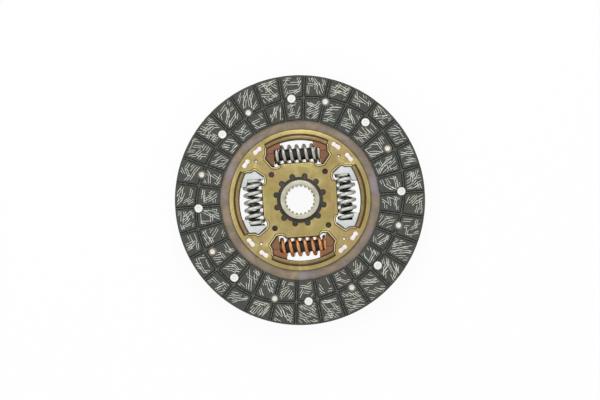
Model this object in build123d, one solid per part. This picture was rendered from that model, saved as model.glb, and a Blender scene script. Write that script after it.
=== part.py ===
from build123d import *
import math
import os

# A sprung clutch disc. Sizes are in millimetres and angles in degrees.
# +Z is the axis of the disc and points out of its flywheel side. The origin is the centre of the hub's rear end.
# The four spring windows lie on the X and Y axes. Each one is drawn once, on +Y, and turned into place.

# Friction facings
facing_outer_diameter = 250.0
facing_inner_diameter = 160.0
facing_thickness = 3.3
groove_count = 30
groove_start_angle = 0.3
groove_width = 1.8
groove_depth = 1.1
oval_groove_long_radius = 108.0
oval_groove_short_radius = 98.0
oval_groove_angle = 38.0

# Facing rivets
rivet_circle_diameter = 203.4
rivets_per_facing = 8
front_rivet_start_angle = 1.15
rear_rivet_start_angle = -18.1
rivet_shank_diameter = 4.0
rivet_head_diameter = 8.3
rivet_head_thickness = 1.0
rivet_clinch_diameter = 6.0
rivet_clinch_height = 0.7
rivet_hollow_diameter = 2.4
rivet_seat_thickness = 1.5
rivet_hole_diameter = 8.7

# Cushion plate
cushion_plate_thickness = 1.0
cushion_plate_inner_radius = 62.2
cushion_ring_outer_radius = 83.0
paddle_neck_half_angle = 8.0
paddle_half_angle = 19.5
paddle_inner_radius = 86.0
paddle_edge_margin = 2.5
paddle_corner_radius = 5.0
cushion_rise = 0.4
cushion_flat_half_width = 5.0
cushion_slope_width = 4.0

# Side plates
side_plate_outer_radius = 70.7
side_plate_thickness = 2.5
side_plate_spacing = 10.5
dish_radius = 34.0
dish_height = 0.6
window_lip_width = 4.8
window_lip_height = 2.2
window_lip_hollow_height = 1.76
window_lip_half_angle = 29.0
window_lip_flank_width = 2.2
window_lip_edge_bevel = 0.7
window_rim_width = 1.7
window_rim_height = 0.7
window_rim_bevel = 0.4
pilot_hole_diameter = 3.0
pilot_hole_radius = 58.6

# Spring windows, on +Y
window_outer_radius = 61.2
window_half_width = 30.4
window_shoulder_height = 47.0
window_notch = (32.6, 43.5)
window_foot_outer = (25.6, 34.5)
window_foot_inner = (20.0, 33.9)
window_foot_top = (17.0, 36.8)
window_corner_radius = 1.0

# Spacer plates, which are staked through both side plates
spacer_inner_radius = 62.8
spacer_outer_radius = 68.6
spacer_half_angle = 10.5
spacer_corner_radius = 1.2
tenon_radius = 65.0
tenon_half_angle = 7.65
tenon_length = 9.8
tenon_width = 4.4
tenon_stake_height = 0.5
tenon_stake_bevel = 0.35
stake_overhang = 0.25

# Hub
hub_rear_length = 22.0
hub_front_length = 12.0
hub_wall = 4.5
hub_end_chamfer = 0.8
hub_mouth_margin = 0.6
flange_thickness = 6.0
flange_root_radius = 35.5
flange_arm_radius = 61.6
spline_teeth = 21
spline_major_diameter = 30.2
spline_tooth_height = 1.5
spline_tooth_share = 0.46
spline_tooth_angle = -89.2

# Bushes and friction pack
bush_ring_wall = 2.2
bush_body_wall = 7.0
bush_finger_count = 12
bush_finger_length = 4.2
bush_finger_width = 4.5
bush_finger_start_angle = 15.0
rear_bush_collar_wall = 3.0
rear_bush_flange_wall = 11.0
pack_width = 6.2
friction_plate_thickness = 0.8
friction_washer_thickness = 0.8
cone_spring_thickness = 0.45
peg_circle_radius = 38.0
peg_diameter = 4.4
peg_hole_diameter = 5.0
peg_lug_radius = 3.6
peg_sink = 0.5

# Springs
spring_axis_radius = 46.3
spring_outer_diameter = 20.3
spring_wire_diameter = 3.7
spring_coils = 6.9
inner_spring_wire_diameter = 2.3
inner_spring_coils = 9.0
closed_turns = 0.8
closed_pitch_share = 1.12
wire_sides = 6
spring_front_strands = {"top": 1.6, "left": 2.0, "bottom": -2.7, "right": -3.0}

# Spring seats, at the +X end of the window on +Y
seat_face = 23.3
seat_back = 29.8
seat_nose = (31.9, 43.7)
seat_nose_radius = 1.0
seat_corner_radius = 1.5
seat_heel = (25.0, 35.4)
seat_shoulder_height = 46.8
seat_hood_end = 16.5
seat_half_height = 9.7
seat_nose_half_height = 8.0
seat_hood_end_half_height = 8.2
seat_spigot_length = 5.0
core_chamfer = 1.0

# Clearances
running_clearance = 0.3
slip_clearance = 0.1
hub_bush_clearance = 0.4
finger_clearance = 0.3
pack_clearance = 0.8
hood_clearance = 0.8
window_spring_clearance = 0.41
nested_clearance = 0.35
bumper_clearance = 0.75
bumper_end_clearance = 0.3
spring_end_clearance = 0.3
seat_bore_clearance = 0.6
spigot_clearance = 0.55

# Heights that follow from the sizes above
mid_plane = hub_rear_length
front_plate_back = mid_plane + cushion_plate_thickness / 2
front_plate_front = front_plate_back + side_plate_thickness
rear_plate_front = front_plate_back - side_plate_spacing
rear_plate_back = rear_plate_front - side_plate_thickness
spring_height = (front_plate_front + rear_plate_back) / 2
flange_front = spring_height + flange_thickness / 2
flange_back = spring_height - flange_thickness / 2
front_facing_back = mid_plane + cushion_plate_thickness / 2 + cushion_rise
rear_facing_front = mid_plane - cushion_plate_thickness / 2 - cushion_rise
washer_back = flange_front + running_clearance
friction_plate_back = washer_back + friction_washer_thickness
friction_plate_front = friction_plate_back + friction_plate_thickness
hub_length = hub_rear_length + hub_front_length

# Radii and angles that follow from the sizes above
facing_outer_radius = facing_outer_diameter / 2
facing_inner_radius = facing_inner_diameter / 2
rivet_circle_radius = rivet_circle_diameter / 2
spring_outer_radius = spring_outer_diameter / 2
spring_bore_radius = spring_outer_radius - spring_wire_diameter
inner_spring_outer_radius = spring_bore_radius - nested_clearance
inner_spring_bore_radius = inner_spring_outer_radius - inner_spring_wire_diameter
bumper_radius = spring_bore_radius - bumper_clearance
seat_hood_radius = window_outer_radius - hood_clearance
spring_half_width_in_plate = math.sqrt(spring_outer_radius**2 - (side_plate_spacing / 2) ** 2)
window_inner_edge = spring_axis_radius - spring_half_width_in_plate - window_spring_clearance
spline_major_radius = spline_major_diameter / 2
spline_minor_radius = spline_major_radius - spline_tooth_height
hub_radius = spline_major_radius + hub_wall
hub_mouth_radius = spline_major_radius + hub_mouth_margin
bush_inner_radius = hub_radius + hub_bush_clearance
bush_ring_radius = bush_inner_radius + bush_ring_wall
bush_body_radius = bush_inner_radius + bush_body_wall
bush_finger_radius = bush_ring_radius + bush_finger_length
rear_bush_collar_radius = bush_inner_radius + rear_bush_collar_wall
rear_bush_flange_radius = bush_inner_radius + rear_bush_flange_wall
pack_inner_radius = bush_body_radius + pack_clearance
pack_outer_radius = pack_inner_radius + pack_width
paddle_centre_angle = (front_rivet_start_angle + rear_rivet_start_angle) / 2
rivet_step = 360 / rivets_per_facing
window_angles = {"top": 0, "left": 90, "bottom": 180, "right": 270}
diagonal_angles = [45, 135, 225, 315]


def turned(shape, angle):
    """The shape turned about the disc's axis."""
    return Rot(0, 0, angle) * shape


def raised(shape, height):
    """The shape moved up the disc's axis."""
    return Pos(0, 0, height) * shape


def disc(radius, bottom, top):
    """A solid disc between two heights."""
    return raised(extrude(Circle(radius), amount=top - bottom), bottom)


def ring(outer, inner, bottom, top):
    """A flat ring between two heights."""
    return raised(extrude(Circle(outer) - Circle(inner), amount=top - bottom), bottom)


def slab(sketch, bottom, top):
    """A flat sketch given thickness between two heights."""
    return raised(extrude(sketch, amount=top - bottom), bottom)


def polar_point(radius, angle):
    """The point at a radius and an angle from +X."""
    turn = math.radians(angle)
    return (radius * math.cos(turn), radius * math.sin(turn))


def circle_height(radius, across):
    """How far up +Y a circle about the axis is, at a distance across."""
    return math.sqrt(radius**2 - across**2)


def sector(outer, inner, half_angle, middle_angle=0.0):
    """Part of a flat ring, cut on two radii, about a middle angle."""
    low, high = middle_angle - half_angle, middle_angle + half_angle
    edges = [
        Line(polar_point(inner, low), polar_point(outer, low)),
        CenterArc((0, 0), outer, low, 2 * half_angle),
        Line(polar_point(outer, high), polar_point(inner, high)),
        CenterArc((0, 0), inner, low, 2 * half_angle),
    ]
    return make_face(edges)


def mirrored_outline(right_edges):
    """A face from the edges of its right half, which start and end on the Y axis."""
    left_edges = [mirror(edge, about=Plane.YZ) for edge in right_edges]
    return make_face(right_edges + left_edges)


# Friction facings


def groove_cutters(depth_bottom, depth_top):
    """The radial grooves and the oval groove, between two heights."""
    length = facing_outer_radius - facing_inner_radius + 4
    middle = (facing_outer_radius + facing_inner_radius) / 2
    radial = Pos(middle, 0) * Rectangle(length, groove_width)
    angles = [groove_start_angle + 360 / groove_count * number for number in range(groove_count)]
    half = groove_width / 2
    outer_oval = Ellipse(oval_groove_long_radius + half, oval_groove_short_radius + half)
    inner_oval = Ellipse(oval_groove_long_radius - half, oval_groove_short_radius - half)
    oval = turned(outer_oval - inner_oval, oval_groove_angle)
    cutters = [slab(turned(radial, angle), depth_bottom, depth_top) for angle in angles]
    cutters.append(slab(oval, depth_bottom, depth_top))
    return cutters


def rivet_angles(start_angle):
    """The angles of one facing's rivets."""
    return [start_angle + rivet_step * number for number in range(rivets_per_facing)]


def rivet_places(start_angle):
    """The centres of one facing's rivets."""
    return [polar_point(rivet_circle_radius, angle) for angle in rivet_angles(start_angle)]


def friction_facing(back, direction, own_start, other_start):
    """One facing. Its back is the face on the cushion plate, and direction is 1 upwards or -1 downwards."""
    front = back + direction * facing_thickness
    facing = ring(facing_outer_radius, facing_inner_radius, min(back, front), max(back, front))
    floor = front - direction * groove_depth
    beyond = front + direction
    cutters = groove_cutters(min(floor, beyond), max(floor, beyond))
    seat = back + direction * rivet_seat_thickness
    for x, y in rivet_places(own_start):
        pocket = disc(rivet_hole_diameter / 2, min(seat, beyond), max(seat, beyond))
        shank_hole = disc(rivet_shank_diameter / 2 + slip_clearance, min(back, front), max(back, front))
        cutters.append(Pos(x, y) * pocket)
        cutters.append(Pos(x, y) * shank_hole)
    for x, y in rivet_places(other_start):
        clearance_hole = disc(rivet_hole_diameter / 2, min(back, front), max(back, front))
        cutters.append(Pos(x, y) * clearance_hole)
    return facing - cutters


def facing_rivet(back, direction):
    """One hollow rivet: its head in the facing's pocket, its clinch on the far side of the paddle."""
    seat = back + direction * rivet_seat_thickness
    head_top = seat + direction * rivet_head_thickness
    paddle_far_side = back - direction * cushion_plate_thickness
    clinch_end = paddle_far_side - direction * rivet_clinch_height
    shank = rivet_shank_diameter / 2
    head = rivet_head_diameter / 2
    clinch = rivet_clinch_diameter / 2
    hollow = rivet_hollow_diameter / 2
    hollow_floor = back
    outline = [
        (0, hollow_floor),
        (0, head_top),
        (head - rivet_head_thickness / 3, head_top),
        (head, seat + direction * rivet_head_thickness / 2),
        (head, seat),
        (shank, seat),
        (shank, paddle_far_side),
        (clinch, paddle_far_side),
        (hollow, clinch_end),
        (hollow, hollow_floor),
    ]
    profile = Plane.XZ * make_face(Polyline(outline, close=True))
    return revolve(profile, axis=Axis.Z)


def facing_rivets(back, direction, start_angle):
    """All the rivets of one facing."""
    rivet = facing_rivet(back, direction)
    return Compound([Pos(x, y) * rivet for x, y in rivet_places(start_angle)])


# Cushion plate


def cushion_paddle():
    """One waved paddle about +X: one half is pressed up to the front facing, the other down to the rear one."""
    outer = facing_outer_radius - paddle_edge_margin
    half = cushion_plate_thickness / 2
    flat = cushion_flat_half_width
    slope_end = flat + cushion_slope_width
    reach = outer * math.sin(math.radians(paddle_half_angle)) + 1
    middle_line = [
        (-reach, -cushion_rise),
        (-slope_end, -cushion_rise),
        (-flat, 0),
        (flat, 0),
        (slope_end, cushion_rise),
        (reach, cushion_rise),
    ]
    top_line = [(across, height + half) for across, height in middle_line]
    bottom_line = [(across, height - half) for across, height in reversed(middle_line)]
    section = Plane.YZ * make_face(Polyline(top_line + bottom_line, close=True))
    waved_sheet = raised(extrude(section, amount=facing_outer_radius), mid_plane)
    outline = sector(outer, paddle_inner_radius, paddle_half_angle)
    corners = outline.vertices().sort_by_distance((0, 0))[-2:]
    outline = fillet(corners, paddle_corner_radius)
    return waved_sheet & slab(outline, mid_plane - 2, mid_plane + 2)


def cushion_neck():
    """The flat neck that carries a paddle about +X. It meets the paddle along its unpressed middle."""
    half = cushion_plate_thickness / 2
    start = cushion_ring_outer_radius - 1
    shoulder = sector(paddle_inner_radius - 1, start, paddle_neck_half_angle)
    length = paddle_inner_radius + 2 - start
    tongue = Pos(start + length / 2, 0) * Rectangle(length, 2 * cushion_flat_half_width)
    return slab(shoulder + tongue, mid_plane - half, mid_plane + half)


def cushion_plate():
    """The thin spring plate between the facings, with its slots for the tenons."""
    half = cushion_plate_thickness / 2
    plate = ring(cushion_ring_outer_radius, cushion_plate_inner_radius, mid_plane - half, mid_plane + half)
    neck = cushion_neck()
    paddle = cushion_paddle()
    for angle in rivet_angles(paddle_centre_angle):
        plate = plate + turned(neck, angle) + turned(paddle, angle)
    holes = []
    for start_angle in (front_rivet_start_angle, rear_rivet_start_angle):
        for x, y in rivet_places(start_angle):
            hole = disc(rivet_shank_diameter / 2 + slip_clearance, mid_plane - 2, mid_plane + 2)
            holes.append(Pos(x, y) * hole)
    return plate - holes - tenon_slots(mid_plane - 2, mid_plane + 2)


# Spacer plates and their tenons


def tenon_places():
    """Each tenon's angle and centre."""
    angles = [diagonal + side * tenon_half_angle for diagonal in diagonal_angles for side in (-1, 1)]
    return [(angle, polar_point(tenon_radius, angle)) for angle in angles]


def tenon_outline(growth=0.0):
    """A round-ended tenon that lies along the tangent at +X."""
    return Rot(0, 0, 90) * SlotOverall(tenon_length + 2 * growth, tenon_width + 2 * growth)


def tenon_slots(bottom, top):
    """The cutters for all the tenon slots."""
    slot = slab(tenon_outline(slip_clearance), bottom, top)
    return [Pos(x, y) * turned(slot, angle) for angle, (x, y) in tenon_places()]


def staked_end(face_height, direction):
    """The two lobes that staking leaves on the end of a tenon at the origin, and the web between them."""
    lobe_radius = tenon_width / 2 + stake_overhang
    spread = (tenon_length - tenon_width) / 2
    bottom = min(face_height, face_height + direction * tenon_stake_height)
    lobe = disc(lobe_radius, bottom, bottom + tenon_stake_height)
    rim = lobe.edges().sort_by(Axis.Z)[-1 if direction > 0 else 0]
    lobe = chamfer(rim, tenon_stake_bevel)
    web = slab(Rectangle(lobe_radius, 2 * spread), bottom, bottom + tenon_stake_height)
    return [web] + [Pos(0, side * spread) * lobe for side in (-1, 1)]


def spacer_plate(diagonal):
    """One spacer plate on a diagonal, with two tenons through each side plate."""
    top = mid_plane - cushion_plate_thickness / 2
    outline = sector(spacer_outer_radius, spacer_inner_radius, spacer_half_angle, diagonal)
    outline = fillet(outline.vertices(), spacer_corner_radius)
    body = slab(outline, rear_plate_front, top)
    for side in (-1, 1):
        angle = diagonal + side * tenon_half_angle
        x, y = polar_point(tenon_radius, angle)
        tenon = slab(tenon_outline(), rear_plate_back, front_plate_front)
        tenon = tenon + staked_end(front_plate_front, 1) + staked_end(rear_plate_back, -1)
        body = body + Pos(x, y) * turned(tenon, angle)
    return body


# Side plates


def window_outline():
    """The window on +Y: an arc outside, a notch at each end for the seat's nose, and a foot below each notch."""
    corner = (window_half_width, circle_height(window_outer_radius, window_half_width))
    shoulder = (window_half_width, window_shoulder_height)
    top = (0, window_outer_radius)
    arc_middle = polar_point(window_outer_radius, 90 - window_lip_half_angle / 2)
    points = [
        corner,
        shoulder,
        window_notch,
        window_foot_outer,
        window_foot_inner,
        window_foot_top,
        (window_foot_top[0] - 3, window_inner_edge),
        (0, window_inner_edge),
    ]
    outline = mirrored_outline([ThreePointArc(top, arc_middle, corner), Polyline(points)])
    low_corners = [vertex for vertex in outline.vertices() if abs(vertex.X) > window_foot_top[0] + 1]
    return fillet(low_corners, window_corner_radius)


def window_lip():
    """The bent lip along the outer edge of the window on +Y, on a plate whose outer face is at height 0."""
    inner = window_outer_radius
    outer = inner + window_lip_width
    crest = window_lip_height
    section = [
        (outer, -side_plate_thickness),
        (outer, 0),
        (outer - window_lip_flank_width / 2, crest - window_lip_edge_bevel),
        (outer - window_lip_flank_width, crest),
        (inner + window_lip_edge_bevel, crest),
        (inner, crest - window_lip_edge_bevel),
        (inner, -side_plate_thickness),
    ]
    profile = Plane.XZ * make_face(Polyline(section, close=True))
    profile = turned(profile, 90 - window_lip_half_angle)
    return revolve(profile, axis=Axis.Z, revolution_arc=2 * window_lip_half_angle)


def lip_underside():
    """What the bending takes away behind the lip on +Y, so that the plate keeps its thickness."""
    inner = window_outer_radius - 1
    outer = window_outer_radius + window_lip_width / 2
    rise = window_lip_hollow_height
    section = [
        (inner, -side_plate_thickness - 1),
        (outer, -side_plate_thickness - 1),
        (outer, -side_plate_thickness),
        (window_outer_radius, rise - side_plate_thickness),
        (inner, rise - side_plate_thickness),
    ]
    profile = Plane.XZ * make_face(Polyline(section, close=True))
    profile = turned(profile, 90 - window_lip_half_angle)
    return revolve(profile, axis=Axis.Z, revolution_arc=2 * window_lip_half_angle)


def plate_blank():
    """A round plate whose outer face is at height 0 and whose middle is dished upwards."""
    section = [
        (0, dish_height - side_plate_thickness),
        (dish_radius, dish_height - side_plate_thickness),
        (dish_radius + dish_height, -side_plate_thickness),
        (side_plate_outer_radius, -side_plate_thickness),
        (side_plate_outer_radius, 0),
        (dish_radius + dish_height, 0),
        (dish_radius, dish_height),
        (0, dish_height),
    ]
    profile = Plane.XZ * make_face(Polyline(section, close=True))
    return revolve(profile, axis=Axis.Z)


def window_rim():
    """The low rims round both ends of the window on +Y, on a plate whose outer face is at height 0."""
    opening = window_outline()
    low_side = window_foot_inner[1] - 2 * window_rim_width
    high_side = circle_height(window_outer_radius, window_half_width) + window_rim_width
    width = window_half_width + 4 * window_rim_width - window_foot_top[0]
    end = Rectangle(width, high_side - low_side, align=(Align.MIN, Align.MIN))
    end = Pos(window_foot_top[0], low_side) * end
    band = offset(opening, window_rim_width) - opening
    rim = slab(band & (end + mirror(end, about=Plane.YZ)), -side_plate_thickness / 2, window_rim_height)
    crest = rim.edges().filter_by_position(Axis.Z, window_rim_height, window_rim_height)
    return chamfer(crest, window_rim_bevel)


def pilot_holes(bottom, top):
    """The cutters for the pilot holes, which run through both side plates and the hub flange."""
    hole = disc(pilot_hole_diameter / 2, bottom, top)
    return [turned(Pos(pilot_hole_radius, 0) * hole, angle) for angle in diagonal_angles]


def side_plate():
    """What both side plates share: the windows, their lips, the pilot holes and the tenon slots."""
    low, high = -side_plate_thickness - 1, window_lip_height + 1
    window = slab(window_outline(), low, high)
    plate = plate_blank() - [turned(window, angle) for angle in window_angles.values()]
    rim = window_rim()
    lip = window_lip()
    hollow = lip_underside()
    for angle in window_angles.values():
        plate = plate + turned(rim, angle) + turned(lip, angle) - turned(hollow, angle)
    return plate - pilot_holes(low, high) - tenon_slots(low, high)


def bush_fingers(growth=0.0):
    """The outline of the front bush's round-ended fingers, with room round them if asked."""
    width = bush_finger_width + 2 * growth
    tip_centre = bush_finger_radius - bush_finger_width / 2
    finger = Pos(tip_centre / 2, 0) * Rectangle(tip_centre, width)
    finger = finger + Pos(tip_centre, 0) * Circle(width / 2)
    step = 360 / bush_finger_count
    outline = Circle(bush_ring_radius + growth)
    for number in range(bush_finger_count):
        outline = outline + turned(finger, bush_finger_start_angle + step * number)
    return outline


def front_side_plate():
    """The side plate on the flywheel side, notched for the bush's fingers and pierced for the pegs."""
    plate = raised(side_plate(), front_plate_front)
    low, high = front_plate_back - 1, front_plate_front + dish_height + 1
    peg_hole = disc(peg_hole_diameter / 2, low, high)
    peg_holes = [turned(Pos(peg_circle_radius, 0) * peg_hole, angle) for angle in diagonal_angles]
    return plate - slab(bush_fingers(finger_clearance), low, high) - peg_holes


def rear_side_plate():
    """The side plate on the gearbox side, bored for the rear bush's collar."""
    bore = disc(rear_bush_collar_radius + slip_clearance, rear_plate_back - 2, rear_plate_front + 2)
    return raised(mirror(side_plate(), about=Plane.XY), rear_plate_back) - bore


# Hub


def flange_outline():
    """The hub flange: a root ring and four arms, whose sides carry the seats' noses."""
    reach = flange_arm_radius + 5
    stretch = (flange_root_radius - 1) / math.hypot(*window_foot_outer)
    foot = (window_foot_outer[0] * stretch, window_foot_outer[1] * stretch)
    right_side = [
        (window_half_width, reach),
        (window_half_width, window_shoulder_height),
        window_notch,
        window_foot_outer,
        foot,
    ]
    left_side = [(-x, y) for x, y in reversed(right_side)]
    pocket = make_face(Polyline(right_side + left_side, close=True))
    notches = [vertex for vertex in pocket.vertices() if abs(vertex.X) > window_half_width + 1]
    pocket = fillet(notches, window_corner_radius)
    arms = Circle(flange_arm_radius)
    for angle in window_angles.values():
        arms = arms - turned(pocket, angle)
    return arms + Circle(flange_root_radius)


def spline_cutter():
    """What is cut out of the hub for its splined bore: the minor circle and the space between each two teeth."""
    minor = spline_minor_radius
    major = spline_major_radius
    pitch = 360 / spline_teeth
    space_half_angle = pitch * (1 - spline_tooth_share) / 2
    flank_lean = pitch * 0.06
    low = polar_point(major, -space_half_angle + flank_lean)
    high = polar_point(major, space_half_angle - flank_lean)
    inner_low = polar_point(minor - 0.5, -space_half_angle - flank_lean)
    inner_high = polar_point(minor - 0.5, space_half_angle + flank_lean)
    space = make_face([Polyline([high, inner_high, inner_low, low]), ThreePointArc(low, (major, 0), high)])
    outline = Circle(minor)
    first_space = spline_tooth_angle + pitch / 2
    for number in range(spline_teeth):
        outline = outline + turned(space, first_space + pitch * number)
    return slab(outline, -1, hub_length + 1)


def hub():
    """The splined hub with its four-armed flange, as one piece."""
    mouth = hub_mouth_radius
    depth = mouth - spline_minor_radius + 0.2
    chamfered = hub_radius - hub_end_chamfer
    section = [
        (mouth, 0),
        (chamfered, 0),
        (hub_radius, hub_end_chamfer),
        (hub_radius, hub_length - hub_end_chamfer),
        (chamfered, hub_length),
        (mouth, hub_length),
        (mouth - depth, hub_length - depth),
        (mouth - depth, depth),
    ]
    profile = Plane.XZ * make_face(Polyline(section, close=True))
    boss = revolve(profile, axis=Axis.Z)
    flange = slab(flange_outline(), flange_back, flange_front)
    flange = flange - pilot_holes(flange_back - 1, flange_front + 1)
    return boss + flange - spline_cutter()


# Bushes and friction pack


def front_bush():
    """The bush between the hub and the front side plate. Its fingers lock it in the plate."""
    plate_back = front_plate_back + dish_height
    crown = slab(bush_fingers(), plate_back, front_plate_front + dish_height - slip_clearance)
    body = disc(bush_body_radius, washer_back, plate_back)
    bore = disc(bush_inner_radius, washer_back - 1, front_plate_front + dish_height + 1)
    return crown + body - bore


def rear_bush():
    """The flanged bush between the hub and the rear side plate."""
    plate_face = rear_plate_front - dish_height
    collar = ring(rear_bush_collar_radius, bush_inner_radius, rear_plate_back - dish_height, plate_face)
    flange = ring(rear_bush_flange_radius, bush_inner_radius, plate_face, flange_back - running_clearance)
    return collar + flange


def friction_washer():
    """The washer that rubs on the hub flange."""
    return ring(pack_outer_radius, pack_inner_radius, washer_back, friction_plate_back)


def friction_plate():
    """The plate that presses the washer, with four pegs that stop it turning in the front side plate."""
    plate = ring(pack_outer_radius, pack_inner_radius, friction_plate_back, friction_plate_front)
    lug = Pos(peg_circle_radius, 0) * Circle(peg_lug_radius)
    lug_root = Pos((peg_circle_radius + pack_inner_radius) / 2 + 1, 0)
    lug_root = lug_root * Rectangle(peg_circle_radius - pack_inner_radius - 2, 2 * peg_lug_radius)
    lug = slab(lug + lug_root, friction_plate_back, friction_plate_front)
    peg = disc(peg_diameter / 2, friction_plate_back, front_plate_front - peg_sink)
    for angle in diagonal_angles:
        plate = plate + turned(lug, angle) + turned(Pos(peg_circle_radius, 0) * peg, angle)
    return plate


def cone_spring():
    """The dished washer that loads the friction pack, between the side plate and the friction plate."""
    high = front_plate_back + dish_height
    low = friction_plate_front
    outer = pack_outer_radius - running_clearance
    inner = pack_inner_radius + running_clearance
    rise = cone_spring_thickness
    section = [(inner, high), (inner, high - rise), (outer, low), (outer, low + rise)]
    profile = Plane.XZ * make_face(Polyline(section, close=True))
    return revolve(profile, axis=Axis.Z)


# Springs, along X at the origin


def coil_spring(outer_radius, wire, length, coils, left_handed, front_strand):
    """A coil spring along X, centred on the origin, with ground ends. A strand crosses its top at front_strand."""
    mean_radius = outer_radius - wire / 2
    closed_pitch = wire * closed_pitch_share
    closed_length = closed_turns * closed_pitch
    open_length = length - 2 * closed_length
    open_turns = coils - 2 * closed_turns
    open_pitch = open_length / open_turns
    turn_sign = -1 if left_handed else 1
    spans = [
        (-length / 2, closed_length, closed_pitch, -closed_turns - open_turns / 2),
        (-open_length / 2, open_length, open_pitch, -open_turns / 2),
        (open_length / 2, closed_length, closed_pitch, open_turns / 2),
    ]
    helices = []
    for start, span_length, pitch, start_turn in spans:
        helix = Helix(pitch, span_length, mean_radius, lefthand=left_handed)
        helices.append(raised(turned(helix, turn_sign * 360 * start_turn), start))
    path = Wire(helices)
    side_angle = 2 * math.pi / wire_sides
    corner_radius = wire / 2 * math.sqrt(side_angle / math.sin(side_angle))
    section = Plane(path @ 0, z_dir=path % 0) * RegularPolygon(corner_radius, wire_sides)
    coils = sweep(section, path=path, is_frenet=True, transition=Transition.TRANSFORMED)
    ground_block = Box(3 * outer_radius, 3 * outer_radius, length)
    spring = Rot(0, 90, 0) * (coils & ground_block)
    return Rot(turn_sign * (180 - 360 * front_strand / open_pitch), 0, 0) * spring


def window_spring(outer_radius, wire, coils, left_handed, front_strand, angle):
    """A spring in the window at an angle."""
    length = 2 * (seat_face - spring_end_clearance)
    spring = coil_spring(outer_radius, wire, length, coils, left_handed, front_strand)
    return turned(Pos(0, spring_axis_radius, spring_height) * spring, angle)


# Spring seats and rubber cores


def seat_outline():
    """The seat at the +X end of the window on +Y, seen along the axis."""
    top_of_back = (seat_back, circle_height(seat_hood_radius, seat_back))
    end_of_hood = (seat_hood_end, circle_height(seat_hood_radius, seat_hood_end))
    hood_middle_across = (seat_back + seat_hood_end) / 2
    hood_middle = (hood_middle_across, circle_height(seat_hood_radius, hood_middle_across))
    points = [
        end_of_hood,
        (seat_hood_end, spring_axis_radius),
        (seat_face, spring_axis_radius),
        (seat_face, seat_heel[1]),
        seat_heel,
        seat_nose,
        (seat_back, seat_shoulder_height),
        top_of_back,
    ]
    outline = make_face([Polyline(points), ThreePointArc(top_of_back, hood_middle, end_of_hood)])
    nose = outline.vertices().sort_by(Axis.X)[-1]
    outline = fillet(nose, seat_nose_radius)
    corner = outline.vertices().sort_by_distance(top_of_back)[0]
    return fillet(corner, seat_corner_radius)


def spring_seat(spigot_radius):
    """The seat at the +X end of the window on +Y."""
    level = spring_height
    body = slab(seat_outline(), level - seat_half_height - 1, level + seat_half_height + 1)
    top_line = [
        (seat_hood_end - 1, seat_hood_end_half_height),
        (seat_face - 1, seat_half_height),
        (seat_back, seat_half_height),
        (seat_nose[0] + 1, seat_nose_half_height),
    ]
    bottom_line = [(x, -z) for x, z in reversed(top_line)]
    side_section = Plane.XZ * make_face(Polyline(top_line + bottom_line, close=True))
    side_block = Pos(0, window_outer_radius + 5, level) * extrude(side_section, amount=40)
    body = body & side_block
    bore_radius = spring_outer_radius + seat_bore_clearance
    hood_bore = Cylinder(bore_radius, seat_face, align=(Align.CENTER, Align.CENTER, Align.MAX))
    hood_bore = Pos(seat_face, spring_axis_radius, level) * Rot(0, 90, 0) * hood_bore
    spigot = Cylinder(spigot_radius, seat_spigot_length + 1, align=(Align.CENTER, Align.CENTER, Align.MIN))
    rim = spigot.edges().sort_by(Axis.Z)[-1]
    spigot = chamfer(rim, core_chamfer)
    spigot = Pos(seat_face + 1, spring_axis_radius, level) * Rot(0, -90, 0) * spigot
    return body - hood_bore + spigot


def bumper():
    """The rubber core of the spring on +Y. It fills the gap between the spigots of the two seats."""
    half_length = seat_face - seat_spigot_length - bumper_end_clearance
    rubber = Cylinder(bumper_radius, 2 * half_length)
    rims = rubber.edges().filter_by(GeomType.CIRCLE)
    rubber = chamfer(rims, core_chamfer)
    return Pos(0, spring_axis_radius, spring_height) * Rot(0, 90, 0) * rubber


# The whole disc

parts = {
    "front_facing": friction_facing(front_facing_back, 1, front_rivet_start_angle, rear_rivet_start_angle),
    "rear_facing": friction_facing(rear_facing_front, -1, rear_rivet_start_angle, front_rivet_start_angle),
    "front_facing_rivets": facing_rivets(front_facing_back, 1, front_rivet_start_angle),
    "rear_facing_rivets": facing_rivets(rear_facing_front, -1, rear_rivet_start_angle),
    "cushion_plate": cushion_plate(),
    "front_side_plate": front_side_plate(),
    "rear_side_plate": rear_side_plate(),
    "hub": hub(),
    "front_bush": front_bush(),
    "rear_bush": rear_bush(),
    "friction_washer": friction_washer(),
    "friction_plate": friction_plate(),
    "cone_spring": cone_spring(),
}

for number, diagonal in enumerate(diagonal_angles, start=1):
    parts[f"spacer_plate_{number}"] = spacer_plate(diagonal)

outer_spigot_radius = spring_bore_radius - spigot_clearance
inner_spigot_radius = inner_spring_bore_radius - spigot_clearance
for name, angle in window_angles.items():
    nested = name in ("left", "right")
    seat = spring_seat(inner_spigot_radius if nested else outer_spigot_radius)
    parts[f"{name}_hub_seat"] = turned(seat, angle)
    parts[f"{name}_plate_seat"] = turned(mirror(seat, about=Plane.YZ), angle)
    strand = spring_front_strands[name]
    parts[f"{name}_spring"] = window_spring(
        spring_outer_radius, spring_wire_diameter, spring_coils, False, strand, angle
    )
    if nested:
        parts[f"{name}_inner_spring"] = window_spring(
            inner_spring_outer_radius, inner_spring_wire_diameter, inner_spring_coils, True, 0, angle
        )
    else:
        parts[f"{name}_bumper"] = turned(bumper(), angle)

os.makedirs("parts", exist_ok=True)
for name, shape in parts.items():
    export_step(shape, f"parts/{name}.step")
    print(name, round(shape.volume, 1))
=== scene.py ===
import math
import random

import bmesh
import bpy
from mathutils import Matrix, Vector


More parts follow.
